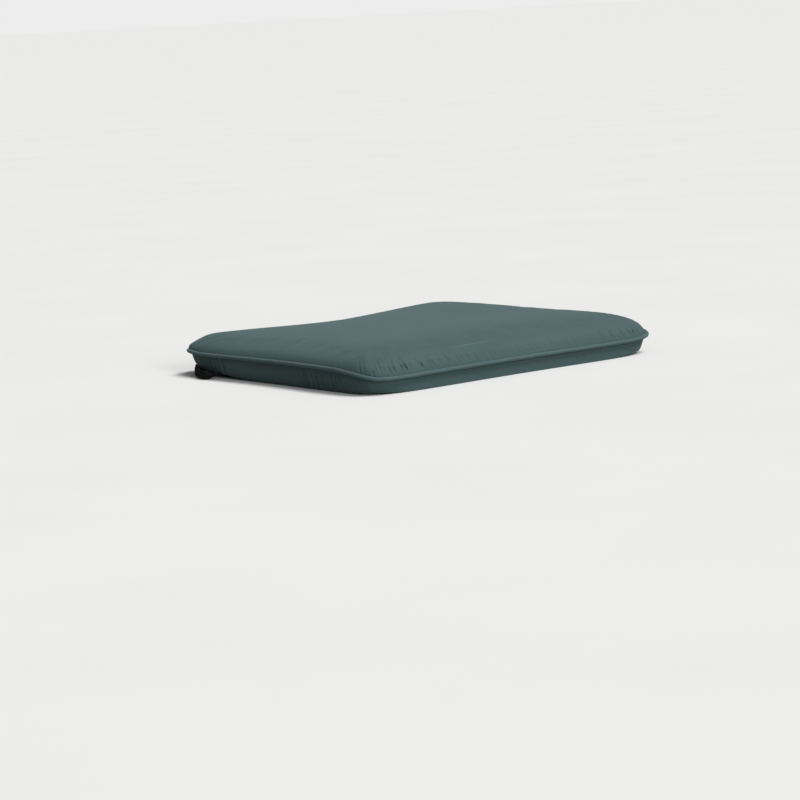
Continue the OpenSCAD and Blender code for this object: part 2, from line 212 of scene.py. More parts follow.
def make_piece(name, points, faces, flats=None, finish=None):
    """Object from points, arrays of faces by number of sides, and the flat cloth coordinates of each face
    corner in the same order, in metres."""
    mesh = bpy.data.meshes.new(name)
    corners = np.concatenate([f.ravel() for f in faces])
    sides = np.concatenate([np.full(len(f), f.shape[1]) for f in faces])
    mesh.vertices.add(len(points))
    mesh.loops.add(len(corners))
    mesh.polygons.add(len(sides))
    mesh.vertices.foreach_set("co", points.astype(np.float32).ravel())
    mesh.loops.foreach_set("vertex_index", corners.astype(np.int32))
    mesh.polygons.foreach_set("loop_start", (np.cumsum(sides) - sides).astype(np.int32))
    mesh.polygons.foreach_set("use_smooth", np.ones(len(sides), bool))
    mesh.update(calc_edges=True)
    if flats is not None:
        layer = mesh.uv_layers.new(name="cloth")
        layer.data.foreach_set("uv", np.concatenate(flats).astype(np.float32).ravel())
    mesh.validate()
    piece = bpy.data.objects.new(name, mesh)
    bpy.context.scene.collection.objects.link(piece)
    if finish is not None:
        mesh.materials.append(finish)
    return piece


def quads(rows, cols, wrap_rows=False, wrap_cols=False):
    """Faces between neighbouring points of a grid numbered row by row, and each corner's row and column."""
    i, j = np.meshgrid(np.arange(rows if wrap_rows else rows - 1),
                       np.arange(cols if wrap_cols else cols - 1), indexing="ij")
    row = np.stack([i, i, i + 1, i + 1], -1).reshape(-1, 4)
    col = np.stack([j, j + 1, j + 1, j], -1).reshape(-1, 4)
    return (row % rows) * cols + col % cols, row, col


def capped(rings, sides):
    """Faces round a tube of so many rings of points, and its two end faces."""
    corners = np.arange(sides)
    return quads(rings, sides, wrap_cols=True)[0], np.stack([corners[::-1], (rings - 1) * sides + corners])


def repeated(faces, count, points_each):
    """The same faces for each of a number of copies."""
    first = points_each * np.arange(count)[:, None, None]
    return (faces + first).reshape(-1, faces.shape[1])


def cloth_piece(name, face, flat, thickness, finish, wrap=False):
    """Closed piece of cloth. Its outer face is the whole grid, its inner face is every other point moved in
    along the normal, and five-sided faces join the two along each edge. When wrap is set, the last column
    joins the first, and flat has one column more than the grid."""
    rows, cols = face.shape[:2]
    inner = (face - thickness * normals(face, wrap))[::2, ::2]
    low_rows, low_cols = inner.shape[:2]
    outer_faces, row, col = quads(rows, cols, wrap_cols=wrap)
    flats = [flat[row, col].reshape(-1, 2)]
    inner_faces, row, col = quads(low_rows, low_cols, wrap_cols=wrap)
    flats.append(flat[2 * row, 2 * col][:, ::-1].reshape(-1, 2))
    faces, base = [outer_faces, inner_faces[:, ::-1] + rows * cols], rows * cols
    j = np.arange(0, cols if wrap else cols - 1, 2)
    i = np.arange(0, rows - 1, 2)
    edges = [(0 * j, j, 0, 1, True), (0 * j + rows - 1, j, 0, 1, False)]
    if not wrap:
        edges += [(i, 0 * i, 1, 0, False), (i, 0 * i + cols - 1, 1, 0, True)]
    for start_row, start_col, down, across, turned in edges:
        r = np.stack([start_row + k * down for k in (0, 1, 2, 2, 0)], 1)
        c = np.stack([start_col + k * across for k in (0, 1, 2, 2, 0)], 1)
        on_outer = r[:, :3] * cols + c[:, :3] % cols
        on_inner = base + r[:, 3:] // 2 * low_cols + c[:, 3:] // 2 % low_cols
        order = [2, 1, 0, 4, 3] if turned else [0, 1, 2, 3, 4]
        faces.append(np.concatenate([on_outer, on_inner], 1)[:, order])
        flats.append(flat[r, c][:, order].reshape(-1, 2))
    points = np.concatenate([face.reshape(-1, 3), inner.reshape(-1, 3)])
    return make_piece(name, points, faces, flats, finish)


def new_material(name, **sockets):
    """Material with a Principled shader whose constants sit on its own sockets."""
    made = bpy.data.materials.new(name)
    made.use_nodes = True
    shader = made.node_tree.nodes["Principled BSDF"]
    for key, value in sockets.items():
        shader.inputs[key.replace("_", " ").title().replace("Ior", "IOR")].default_value = value
    return made, shader


def add_node(made, kind, inputs, **settings):
    """Node in a material, with inputs given as values or as other nodes' outputs."""
    new = made.node_tree.nodes.new("ShaderNode" + kind)
    for key, value in settings.items():
        setattr(new, key, value)
    for key, value in inputs.items():
        if isinstance(value, bpy.types.NodeSocket):
            made.node_tree.links.new(value, new.inputs[key])
        else:
            new.inputs[key].default_value = value
    return new


def object_place(made):
    return add_node(made, "TexCoord", {}).outputs["Object"]


def cloth_place(made):
    """The cloth's flat coordinates, in metres."""
    return add_node(made, "UVMap", {}, uv_map="cloth").outputs[0]


def connect(made, output, shader, socket):
    made.node_tree.links.new(output, shader.inputs[socket])


def noise(made, vector, scale, detail=3.0, roughness=0.5, stretch=(1, 1, 1)):
    """Noise between about 0.3 and 0.7, at a scale per metre, stretched along an axis with a low number."""
    placed = add_node(made, "Mapping", {"Vector": vector, "Scale": stretch}).outputs[0]
    return add_node(made, "TexNoise", {"Vector": placed, "Scale": scale, "Detail": detail,
                                       "Roughness": roughness}).outputs["Fac"]


def ranged(made, value, low, high, to_low=0.0, to_high=1.0):
    """A value's range from low to high, carried to another range."""
    return add_node(made, "MapRange", {"Value": value, "From Min": low, "From Max": high, "To Min": to_low,
                                       "To Max": to_high}).outputs[0]


def mottle(made, place, scale, detail=3.0, roughness=0.5):
    """Noise spread over the whole range from 0 to 1."""
    return ranged(made, noise(made, place, scale, detail, roughness), 0.3, 0.7)


def mixed(made, factor, first, second):
    """Two colours mixed by a factor."""
    mix = add_node(made, "Mix", {0: factor, 6: first, 7: second}, data_type="RGBA")
    return mix.outputs[2]


def colour_between(made, shader, factor, first, second):
    connect(made, mixed(made, factor, first, second), shader, "Base Color")


def scaled(colour, factor):
    """Colour made darker or lighter."""
    return tuple(factor * c for c in colour[:3]) + (1,)


def math_node(made, operation, first, second=0.0, third=0.5):
    return add_node(made, "Math", {0: first, 1: second, 2: third}, operation=operation).outputs[0]


def times(made, product, *factors):
    for factor in factors:
        product = math_node(made, "MULTIPLY", product, factor)
    return product


def wave(made, value, period):
    """Sine of a value that repeats after a period."""
    return math_node(made, "SINE", times(made, value, 2 * math.pi / period))


def bell(made, value):
    """exp(-value^2)"""
    return math_node(made, "EXPONENT", times(made, value, value, -1))


def bump(made, shader, height, strength, distance):
    new = add_node(made, "Bump", {"Height": height, "Strength": strength, "Distance": distance})
    connect(made, new.outputs[0], shader, "Normal")


def cut_foam():
    """Pale yellow foam with the open cells and the saw's faint lines."""
    made, shader = new_material("cut foam", roughness=0.95)
    place = object_place(made)
    cells = add_node(made, "TexVoronoi", {"Vector": place, "Scale": 900.0}).outputs["Distance"]
    tone = mottle(made, place, 30)
    colour_between(made, shader, tone, (0.66, 0.58, 0.36, 1), (0.78, 0.71, 0.5, 1))
    bump(made, shader, cells, 0.6, 0.4 * mm)
    return made


def filling_block(name, upper, lower, flat, finish):
    """Closed block between an upper and a lower grid of the same columns and rows."""
    rows, cols = upper.shape[:2]
    faces, row, col = quads(rows, cols)
    flats = [flat[row, col].reshape(-1, 2)] * 2
    border = np.concatenate([np.arange(cols), np.arange(1, rows) * cols + cols - 1,
                             (rows - 1) * cols + np.arange(cols - 2, -1, -1),
                             np.arange(rows - 2, 0, -1) * cols])
    following = np.roll(border, -1)
    side = np.stack([border, border + rows * cols, following + rows * cols, following], 1)
    flats.append(flat.reshape(-1, 2)[side.ravel() % (rows * cols)])
    points = np.concatenate([upper.reshape(-1, 3), lower.reshape(-1, 3)])
    return make_piece(name, points, [faces, faces[:, ::-1] + rows * cols, side], flats, finish)


foam_in = 17 * mm
foam_bottom = 7 * mm
foam_top = crown_height - 12 * mm
upper_face, flat, ux, uy = crown_grid(8 * mm, foam_in, foam_top)
edge_share = np.maximum(np.abs(upper_face[..., 0]) / half_width, np.abs(upper_face[..., 1]) / half_depth)
lower_face = upper_face * (1 - 0.04 * edge_share[..., None] ** 8)
lower_face[..., 2] = foam_bottom + foot_height(ux, uy, edge_share)
foam = filling_block("foam_block", upper_face, lower_face, flat, cut_foam())
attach(foam, "cover")
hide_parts("foam_core")

# ---------- Wadding ----------
# Two sheets of bonded polyester wadding, a thick one over the foam and a thin one under it.
# They are laid on, not sewn, and their surface is soft and uneven.


def soft_wadding():
    """White bonded fibres: fine stretched noise in the colour and the surface."""
    made, shader = new_material("wadding", roughness=1.0, sheen_weight=0.3)
    place = object_place(made)
    fibres = noise(made, place, 700, 6, 0.7, (1, 0.25, 1))
    tone = ranged(made, fibres, 0.3, 0.7)
    colour_between(made, shader, tone, (0.7, 0.7, 0.68, 1), (0.86, 0.86, 0.84, 1))
    bump(made, shader, fibres, 0.8, 1 * mm)
    return made


def uneven(points):
    """Soft hills and hollows: the product of two sines, with their radians per metre."""
    height, turn_x, turn_y = 0.4 * mm, 90, 80
    return height * np.sin(points[..., 0] * turn_x) * np.sin(points[..., 1] * turn_y)


wadding_finish = soft_wadding()
wadding_bottom = 2.3 * mm
lower_wadding_t = 4 * mm
upper_wadding_t = 7 * mm

over_foam, flat, ux, uy = crown_grid(7 * mm, 13 * mm, crown_height - 3.4 * mm)
under = over_foam.copy()
under[..., 2] -= np.minimum(upper_wadding_t, over_foam[..., 2] - side_z + 4 * mm) + uneven(over_foam)
upper_wadding = filling_block("upper_wadding", over_foam, under, flat, wadding_finish)

across = np.linspace(-1, 1, 65)
share, ux, uy = square_to_outline(across, across, foot_power)
x, y = plan(ux, uy, 18 * mm, 18 * mm)
flat = np.stack([share * x, share * y], -1)
under = np.concatenate([flat, (wadding_bottom + foot_height(ux, uy, share))[..., None]], -1)
over = under.copy()
over[..., 2] += lower_wadding_t * (1 - 0.5 * share**12) + uneven(under)
lower_wadding = filling_block("lower_wadding", over, under, flat, wadding_finish)

for wadding, node in ((upper_wadding, "wadding_top"), (lower_wadding, "wadding_bottom")):
    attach(wadding, "cover")
    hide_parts(node)

# ---------- Liner ----------
# Two pieces of thin white non-woven cloth, sewn together halfway up the side, that hold the filling.
# The upper one follows the crown, and the lower one is a shallow tray.


def spunbond():
    """White non-woven cloth, with its grid of small pressed points and a faint mottle."""
    made, shader = new_material("liner cloth", roughness=0.8, sheen_weight=0.15)
    flat_place = cloth_place(made)
    points = add_node(made, "TexVoronoi", {"Vector": flat_place, "Scale": 700.0, "Randomness": 0.15})
    tone = mottle(made, flat_place, 180, 5, 0.7)
    colour_between(made, shader, tone, (0.68, 0.68, 0.66, 1), (0.84, 0.84, 0.82, 1))
    bump(made, shader, points.outputs["Distance"], 0.4, 0.15 * mm)
    return made


liner_t = 0.3 * mm
liner_in = 10 * mm
liner_finish = spunbond()
upper_face, upper_flat, ux, uy = crown_grid(5 * mm, liner_in, crown_height - 2.2 * mm)
tray_bottom = 1.5 * mm
tray, tray_flat, ux, uy = crown_grid(5 * mm, liner_in, tray_bottom, 16, 2)
share = np.maximum(np.abs(tray[..., 0]) / half_width, np.abs(tray[..., 1]) / half_depth)
tray[..., 2] = np.maximum(tray[..., 2], tray_bottom + foot_height(ux, uy, share))
for name, face, flat, node in (("upper_liner", upper_face, upper_flat, "liner_top"),
                               ("lower_liner", tray[::-1], tray_flat[::-1], "liner_bottom")):
    liner = cloth_piece(name, face, flat, liner_t, liner_finish)
    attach(liner, "cover")
    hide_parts(node)

# ---------- Bottom panel ----------
# The flat piece of the cover under the pad, of the same dark teal-grey cloth as the rest.
# It lies on the seat and ends in the lower seam, inside the tucked-in boxing.


def slashes(made, grain, edge, near, far, lean):
    """Short gathers beside the sewn front edge, as depth from 0 to 1; the depth drives the crease bump and the
    painted shade in the creases. The line across the cloth, u less lean times the distance from the edge,
    falls into random cells, and a crease is narrow round each cell's middle. It shows between two distances
    from the edge, most in two Gaussian stretches of it. Also returns the place along the edge and the distance
    from it."""
    spacing, narrow, wide, everywhere = 9 * mm, 0.03, 0.17, 0.26
    stretches = ((-160 * mm, 52 * mm, 0.75), (205 * mm, 36 * mm, 0.6))  # middle, half length and strength
    split = add_node(made, "SeparateXYZ", {"Vector": grain})
    u, away = split.outputs[0], math_node(made, "ADD", split.outputs[1], edge)
    line = math_node(made, "SUBTRACT", u, times(made, away, lean))
    cell = add_node(made, "TexVoronoi", {"W": line, "Scale": 1 / spacing, "Randomness": 0.75},
                    voronoi_dimensions="1D")
    valley = ranged(made, cell.outputs["Distance"], narrow, wide, 1, 0)
    chance = add_node(made, "SeparateColor", {0: cell.outputs["Color"]})
    reach = ranged(made, chance.outputs[0], 0, 1, 0.6 * far, far)
    grown = ranged(made, away, near, 2.2 * near)
    faded = ranged(made, math_node(made, "DIVIDE", away, reach), 0.5, 1, 1, 0)
    zones = everywhere
    for middle, half, strength in stretches:
        from_middle = math_node(made, "DIVIDE", math_node(made, "SUBTRACT", u, middle), half)
        zones = math_node(made, "ADD", times(made, bell(made, from_middle), strength), zones)
    strengths = ranged(made, chance.outputs[1], 0, 1, 0.5, 1.15)
    return times(made, valley, grown, faded, zones, strengths), u, away


def fold(made, u, away):
    """A soft pressed fold, from 0 to 1: a narrow ridge, a little aslant to the front edge, that dies out
    towards its ends. It raises the crease bump and sets a painted highlight along the fold."""
    middle, half_length, from_edge, half_wide, aslant = -64 * mm, 40 * mm, 27 * mm, 1.1 * mm, 1.5 * mm
    along = math_node(made, "DIVIDE", math_node(made, "SUBTRACT", u, middle), half_length)
    line = math_node(made, "MULTIPLY_ADD", along, aslant, from_edge)
    off = math_node(made, "DIVIDE", math_node(made, "SUBTRACT", away, line), half_wide)
    return times(made, bell(made, off), ranged(made, math_node(made, "ABSOLUTE", along), 0.2, 1, 1, 0))


def woven(name, light, dark, turn=0.0, front_edge=None):
    """Plain-woven polyester. Warp and weft threads are sines of the cloth's flat coordinates that take turns
    on top in a checker of single threads, and the gaps between them are painted darker as shade; uneven
    threads show as long faint streaks along the weft, and handling as soft blotches. Given the distance of its
    front edge, the cloth is creased there, with painted shade in the creases and a painted highlight along a
    fold."""
    thread = 0.45 * mm
    made, shader = new_material(name, roughness=0.66, specular_ior_level=0.2, sheen_weight=0.16,
                                sheen_roughness=0.5, sheen_tint=(0.75, 1, 1, 1))
    turned = {"Vector": cloth_place(made), "Rotation": (0, 0, math.radians(turn))}
    grain = add_node(made, "Mapping", turned).outputs[0]
    threads = add_node(made, "Mapping", {"Vector": grain, "Scale": (1 / thread, 1 / thread, 1)}).outputs[0]
    split = add_node(made, "SeparateXYZ", {"Vector": threads})
    warp, weft = (math_node(made, "ABSOLUTE", wave(made, axis, 2)) for axis in split.outputs[:2])
    checker = add_node(made, "TexChecker", {"Vector": threads, "Scale": 1.0}).outputs["Fac"]
    under = math_node(made, "SUBTRACT", 1.0, checker)
    weave = math_node(made, "ADD", times(made, warp, checker), times(made, weft, under))
    streaks = noise(made, grain, 40, 4, 0.6, (0.25, 9, 1))
    blotches = mottle(made, object_place(made), 7, 3, 0.55)
    tone = math_node(made, "ADD", times(made, ranged(made, streaks, 0.3, 0.7), 0.55),
                     times(made, blotches, 0.45))
    # Painted shade: the gaps between the threads are painted darker, towards a deeper copy of the cloth's
    # colour.
    shade_in_gaps = ranged(made, weave, 0, 1, 0.35, 0)
    colour = mixed(made, shade_in_gaps, mixed(made, tone, dark, light), scaled(dark, 0.45))
    connect(made, ranged(made, tone, 0, 1, 0.72, 0.6), shader, "Roughness")
    fine = math_node(made, "ADD", weave, times(made, streaks, 1.5))
    bump(made, shader, fine, 0.3, 0.12 * mm)
    if front_edge is not None:
        crease_painted_shade, fold_painted_highlight_and_rise = 0.65, 0.4
        depth, u, away = slashes(made, grain, front_edge, near=4 * mm, far=23 * mm, lean=-0.3)
        ridge = times(made, fold(made, u, away), fold_painted_highlight_and_rise)
        # Painted shade: the colour darkens in the creases, towards a deeper copy of the cloth's colour.
        colour = mixed(made, times(made, depth, crease_painted_shade), colour, scaled(dark, 0.3))
        # Painted highlight: the colour lightens along the pressed fold, towards a lighter copy of the cloth's
        # colour.
        colour = mixed(made, ridge, colour, scaled(light, 1.6))
        relief = math_node(made, "SUBTRACT", ridge, depth)
        weave_bump = shader.inputs["Normal"].links[0].from_node
        creased = add_node(made, "Bump", {"Height": relief, "Strength": 1.0, "Distance": 1.6 * mm})
        made.node_tree.links.new(creased.outputs[0], weave_bump.inputs["Normal"])
    connect(made, colour, shader, "Base Color")
    return made


cover_light = (0.065, 0.112, 0.116, 1)
cover_dark = (0.051, 0.093, 0.096, 1)
cover_finish = woven("cover cloth", cover_light, cover_dark)
base_clearance = 0.1 * mm
across = np.linspace(-1, 1, 97)
share, ux, uy = square_to_outline(across, across, foot_power)
seam_gap = 0.2 * mm
x, y = plan(ux, uy, *(seam_in + tuck + seam_gap for tuck in tucks(uy)))
flat = np.stack([share * x, share * y], -1)
under = np.concatenate([flat, (base_clearance + foot_height(ux, uy, share))[..., None]], -1)
base_cloth = cloth_piece("base_cloth", under[::-1], flat[::-1], fabric_t, cover_finish)
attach(base_cloth, "cover")
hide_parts("bottom_panel")

# ---------- Boxing ----------
# The upright wall of the cover: one long band along the front and both sides, a short piece round each rear
# corner, and two strips with the zip between them at the rear. Each is gathered a little where it is sewn.

side_seam = 152.5                # outline angle of the seam between the band and the corner piece
rear_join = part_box("zip_strip_upper")[1].x + 1 * mm
zip_seam = 180 - math.degrees(math.atan2(half_width * (1 - front_flare), rear_join))
line_x, line_y = plan(*unit_points(np.radians(np.linspace(0, 360, 3601))))
line_along = np.concatenate([[0], np.cumsum(np.hypot(np.diff(line_x), np.diff(line_y)))])
perimeter = line_along[-1]


def along_outline(angle):
    """Distance along the piping line, from the middle of the right side, at an outline angle in radians."""
    return np.interp(np.degrees(angle) % 360, np.linspace(0, 360, 3601), line_along)


def gathers(along, away, zones, reach, depth, lean, seed):
    """Small creases that run in from a sewn edge, about 10 mm apart. Across a crease the surface is a valley
    between two ridges, (1 - 2 q^2) exp(-q^2), where q is the distance from its leaning line over its width;
    its depth follows the gathered zones, grows away from the seam and fades beyond its reach."""
    draw = np.random.default_rng(seed)
    offset = np.zeros_like(along)
    for place in np.arange(0, perimeter, 10.5 * mm):
        place += draw.uniform(-3, 3) * mm
        width = draw.uniform(1.7, 3.0) * mm
        far = reach * draw.uniform(0.6, 1.3)
        slope = lean + draw.uniform(-0.25, 0.25)
        strength = draw.uniform(0.45, 1.2)
        x, y = (np.interp(place % perimeter, line_along, line) for line in (line_x, line_y))
        zone = sum(share * math.exp(-((x - cx * mm) ** 2 + (y - cy * mm) ** 2) / (radius * mm) ** 2)
                   for cx, cy, radius, share in zones)
        q = ((along - place - slope * away + perimeter / 2) % perimeter - perimeter / 2) / width
        growth = away / far * np.exp(1 - away / far)
        offset -= depth * strength * min(zone, 1.2) * (1 - 2 * q**2) * np.exp(-q**2) * growth**2
    return offset


def sewn_edges(distance):
    """Turn-in beside a seam: the cloth dips by an exponential of the distance from the seam."""
    return 1.2 * mm * np.exp(-distance / (1.3 * mm))


def boxing_piece(name, start, end, levels, seed, nodes):
    """A stretch of boxing between two upright seams, with its puckers and its edges turned in."""
    angle, even = even_angles(start, end, 2 * mm)
    grid = boxing_grid(angle, levels)
    height = np.cumsum(np.linalg.norm(np.diff(grid[:, 0], axis=0), axis=1))
    up = np.concatenate([[0], height])
    away = (up[-1] - up)[:, None] + 0 * even
    along = along_outline(angle)[None] + 0 * away
    zones = [(-240, -110, 80, 1.0), (-240, 150, 55, 0.8), (240, -60, 90, 0.8), (240, 160, 60, 0.7),
             (-150, -218, 60, 0.25), (150, -218, 60, 0.25)]
    puckers = gathers(along, away, zones, reach=9 * mm, depth=1.6 * mm, lean=0.15, seed=seed)
    from_seam = np.minimum(even, even[-1] - even)[None] + 0 * away
    grid = grid + normals(grid) * (puckers - sewn_edges(from_seam))[..., None]
    grid[..., 2] = np.maximum(grid[..., 2], 0.05 * mm)
    flat = np.stack([along[0] + 0 * away, up[:, None] + 0 * away], -1)
    piece = cloth_piece(name, grid, flat, fabric_t, cover_finish)
    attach(piece, "cover")
    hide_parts(*nodes)


def turned_levels(low, high, count):
    """Shares of the boxing's height, closer together low down, where it turns under."""
    even = np.linspace(math.acos(1 - low), math.acos(1 - high), count)
    return 1 - np.cos(even)


seam_top = rear_z - seam_half
slot_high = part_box("zip_strip_upper")[0].z / seam_top
slot_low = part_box("zip_strip_lower")[1].z / seam_top
boxing_piece("boxing_band", side_seam, 540 - side_seam, turned_levels(0, 1, 17), 11, ["side_band"])
boxing_piece("boxing_corner_left", zip_seam, side_seam, turned_levels(0, 1, 17), 12, ["left_corner_band"])
boxing_piece("boxing_corner_right", 180 - side_seam, 180 - zip_seam, turned_levels(0, 1, 17), 13,
             ["right_corner_band"])
boxing_piece("zip_facing_upper", 180 - zip_seam, zip_seam, turned_levels(slot_high, 1, 7), 14,
             ["zip_strip_upper"])
boxing_piece("zip_facing_lower", 180 - zip_seam, zip_seam, turned_levels(0, slot_low, 9), 15,
             ["zip_strip_lower"])

# ---------- Zip ----------
# A nylon coil zip between the two rear strips, for taking the cover off: two woven tapes, a coil of teeth
# sewn along each, end stops, and a coated metal slider with its pull. Topstitching holds the tapes.


def zip_tape_cloth():
    """Black herringbone tape: a fine zigzag of ribs across the tape."""
    made, shader = new_material("zip tape", roughness=0.75, sheen_weight=0.1)
    flat_place = cloth_place(made)
    split = add_node(made, "SeparateXYZ", {"Vector": flat_place})
    zigzag = math_node(made, "PINGPONG", split.outputs[1], 1.5 * mm)
    ribs = wave(made, math_node(made, "ADD", split.outputs[0], zigzag), 0.6 * mm)
    tone = ranged(made, ribs, -1, 1)
    colour_between(made, shader, tone, (0.02, 0.03, 0.031, 1), (0.045, 0.062, 0.064, 1))
    bump(made, shader, ribs, 0.5, 0.1 * mm)
    return made


def moulded_nylon():
    """Dark nylon with a soft shine and slight mottling."""
    made, shader = new_material("zip coil nylon", roughness=0.35, specular_ior_level=0.5)
    place = object_place(made)
    tone = mottle(made, place, 300)
    colour_between(made, shader, tone, (0.016, 0.022, 0.023, 1), (0.03, 0.04, 0.042, 1))
    connect(made, ranged(made, tone, 0, 1, 0.3, 0.42), shader, "Roughness")
    return made


def coated_metal():
    """Gunmetal coating, rubbed a little lighter and smoother in patches."""
    made, shader = new_material("zip metal", metallic=0.9)
    place = object_place(made)
    rubbed = ranged(made, noise(made, place, 260, 4), 0.45, 0.65)
    colour_between(made, shader, rubbed, (0.09, 0.095, 0.1, 1), (0.3, 0.31, 0.32, 1))
    connect(made, ranged(made, rubbed, 0, 1, 0.42, 0.26), shader, "Roughness")
    bump(made, shader, noise(made, place, 1500), 0.15, 0.05 * mm)
    return made


def ring_tube(centres, radius, sides, name, finish):
    """Tube along a line of points: a circle across its direction at each, and a flat face at each end."""
    along = np.gradient(centres, axis=0)
    along /= np.linalg.norm(along, axis=1, keepdims=True)
    first = np.cross(along, [0.0, 1.0, 0.3])
    first /= np.linalg.norm(first, axis=1, keepdims=True)
    second = np.cross(along, first)
    turn = np.linspace(0, 2 * math.pi, sides, endpoint=False)[None, :, None]
    points = centres[:, None] + radius * (np.cos(turn) * first[:, None] + np.sin(turn) * second[:, None])
    faces, ends = capped(len(centres), sides)
    return make_piece(name, points.reshape(-1, 3), [faces[:, ::-1], ends[:, ::-1]], None, finish)


def coil_line(low, high, reach_in, reach_out, towards, pitch):
    """Centre line of a sewn coil: an oval turned along X, (cos, sin) by half its thickness and half its
    width, one turn for each pitch."""
    turns = round((high.x - low.x) / pitch)
    turn = np.linspace(0, 2 * math.pi * turns, turns * 9 + 1)
    middle_y, half_y = (low.y + high.y) / 2, (high.y - low.y) / 2 - reach_in
    middle_z, half_z = (low.z + high.z) / 2, (high.z - low.z) / 2
    x = low.x + (high.x - low.x) * turn / turn[-1]
    z = middle_z + towards * reach_out + half_z * np.sin(turn)
    return np.stack([x, middle_y + half_y * np.cos(turn), z], -1)


tape_finish, nylon, metal = zip_tape_cloth(), moulded_nylon(), coated_metal()
teeth_pitch = 1.4 * mm
wire = 0.32 * mm
for side, towards in (("upper", -1), ("lower", 1)):
    low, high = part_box("zip_tape_" + side)
    x, z = np.meshgrid(np.linspace(low.x, high.x, 101), np.linspace(low.z, high.z, 5))
    if side == "upper":
        y = 0 * x + high.y
    else:
        deep = boxing_inset(z / seam_top, tuck_rear) - boxing_inset(high.z / seam_top, tuck_rear)
        y = high.y - deep
    flat = np.stack([x, z], -1)
    face = np.stack([x, y, z], -1)
    tape = cloth_piece("tape_" + side, face[:, ::-1], flat[:, ::-1], 0.45 * mm, tape_finish)
    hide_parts("zip_tape_" + side)
    low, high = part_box("zip_coil_" + side)
    line = coil_line(low, high, wire, 0.1 * mm, towards, teeth_pitch)
    coil = ring_tube(line, wire, 5, "teeth_" + side, nylon)
    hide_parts("zip_coil_" + side)
    for piece in (tape, coil):
        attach(piece, "cover")


def rounded_copy(node, name, radius, finish, body):
    """Copy of a hard CAD piece with its edges rounded by a bevel, standing for the piece."""
    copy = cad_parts[node].copy()
    copy.data = copy.data.copy()
    copy.name = name
    copy.parent = None
    for key in list(copy.keys()):
        del copy[key]
    bpy.context.scene.collection.objects.link(copy)
    merge = copy.modifiers.new("merge", "WELD")
    merge.merge_threshold = 0.01 * mm
    bevel = copy.modifiers.new("rounded edges", "BEVEL")
    bevel.width = radius
    bevel.segments = 2
    bevel.limit_method = "ANGLE"
    bevel.angle_limit = math.radians(35)
    copy.data.materials.clear()
    copy.data.materials.append(finish)
    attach(copy, body)
    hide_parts(node)
    return copy


for node, name, radius, body in (("zip_stops", "end_stops", 0.25 * mm, "cover"),
                                 ("zip_slider", "slider", 0.22 * mm, "zip_slider"),
                                 ("zip_pull", "pull_tab", 0.22 * mm, "zip_pull")):
    rounded_copy(node, name, radius, metal, body)


def sewing_thread(name, dark, light):
    """Twisted polyester thread with a fine uneven twist."""
    made, shader = new_material(name, roughness=0.5, sheen_weight=0.2)
    place = object_place(made)
    twist = noise(made, place, 1800, 2)
    colour_between(made, shader, ranged(made, twist, 0.3, 0.7), dark, light)
    bump(made, shader, twist, 0.3, 0.05 * mm)
    return made


def stitches(name, centres, along, across, length, thick, finish):
    """Stitches as small spindles along a direction: the radius follows the fourth root of (1 - t^2)."""
    rings, sides = 5, 6
    t = np.linspace(-0.98, 0.98, rings)
    turn = np.linspace(0, 2 * math.pi, sides, endpoint=False)
    radius = thick / 2 * (1 - t**2) ** 0.25
    out = np.cross(along, across)
    ring = (t[:, None, None, None] * length / 2 * along[None, None]
            + radius[:, None, None, None] * (np.cos(turn)[None, :, None, None] * across[None, None]
                                             + np.sin(turn)[None, :, None, None] * out[None, None]))
    points = (ring + centres[None, None]).transpose(2, 0, 1, 3).reshape(-1, 3)
    faces = [repeated(one, len(centres), rings * sides) for one in capped(rings, sides)]
    return make_piece(name, points, faces, None, finish)


thread_finish = sewing_thread("sewing thread", (0.05, 0.08, 0.084, 1), (0.12, 0.18, 0.186, 1))
stitch_pitch = 3.4 * mm
stitch_row = 2.2 * mm            # distance of the topstitching from the strip's folded edge
half_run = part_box("zip_strip_upper")[1].x - 3 * mm
places = np.arange(-half_run, half_run, stitch_pitch)
rows_z = np.array([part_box("zip_strip_lower")[1].z - stitch_row,
                   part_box("zip_strip_upper")[0].z + stitch_row])
x, z = (grid.ravel() for grid in np.meshgrid(places, rows_z))
level = z / seam_top
y = half_depth - boxing_inset(level, tuck_rear) + 0.12 * mm
slope = (boxing_inset(level - 0.02, tuck_rear) - boxing_inset(level + 0.02, tuck_rear)) / (0.04 * seam_top)
across = np.stack([0 * x, slope, 0 * x + 1], -1)
across /= np.linalg.norm(across, axis=1, keepdims=True)
along = np.stack([0 * x + 1, 0 * x, 0 * x], -1)
centres = np.stack([x, y, z], -1)
topstitch = stitches("zip_topstitching", centres, along, across, length=2.8 * mm, thick=0.45 * mm,
                     finish=thread_finish)
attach(topstitch, "cover")

# ---------- Piping ----------
# A strip of the cover cloth, cut on the bias, wrapped round a cotton cord and sewn between the top and the
# boxing all the way round, with its two raw edges lying together inside as a flange.

piping_r = 2.75 * mm
piping_wall = 0.5 * mm
flange_in = 8.6 * mm


def round_the_pad(section, spacing, wobble):
    """Grid of a cross-section, [outwards, upwards], carried round the piping line, with a slow uneven wobble
    of its place from three sines."""
    angle = even_angles(0, 360, spacing)[0][:-1]
    x, y = plan(*unit_points(angle))
    out = np.stack([np.roll(y, -1) - np.roll(y, 1), np.roll(x, 1) - np.roll(x, -1)], -1)
    out /= np.linalg.norm(out, axis=1, keepdims=True)
    place = along_outline(angle) * 2 * math.pi / perimeter
    shake = wobble * (np.sin(37 * place) + 0.8 * np.sin(71 * place + 1) + 0.6 * np.sin(113 * place + 2))
    z = seam_height(*unit_points(angle)) + shake
    x, y = x + shake * out[:, 0] * 0.6, y + shake * out[:, 1] * 0.6
    outwards = section[:, :1, None] * out
    grid = np.concatenate([np.stack([x, y], -1) + outwards, (z + section[:, 1:])[..., None]], -1)
    return grid, along_outline(angle)


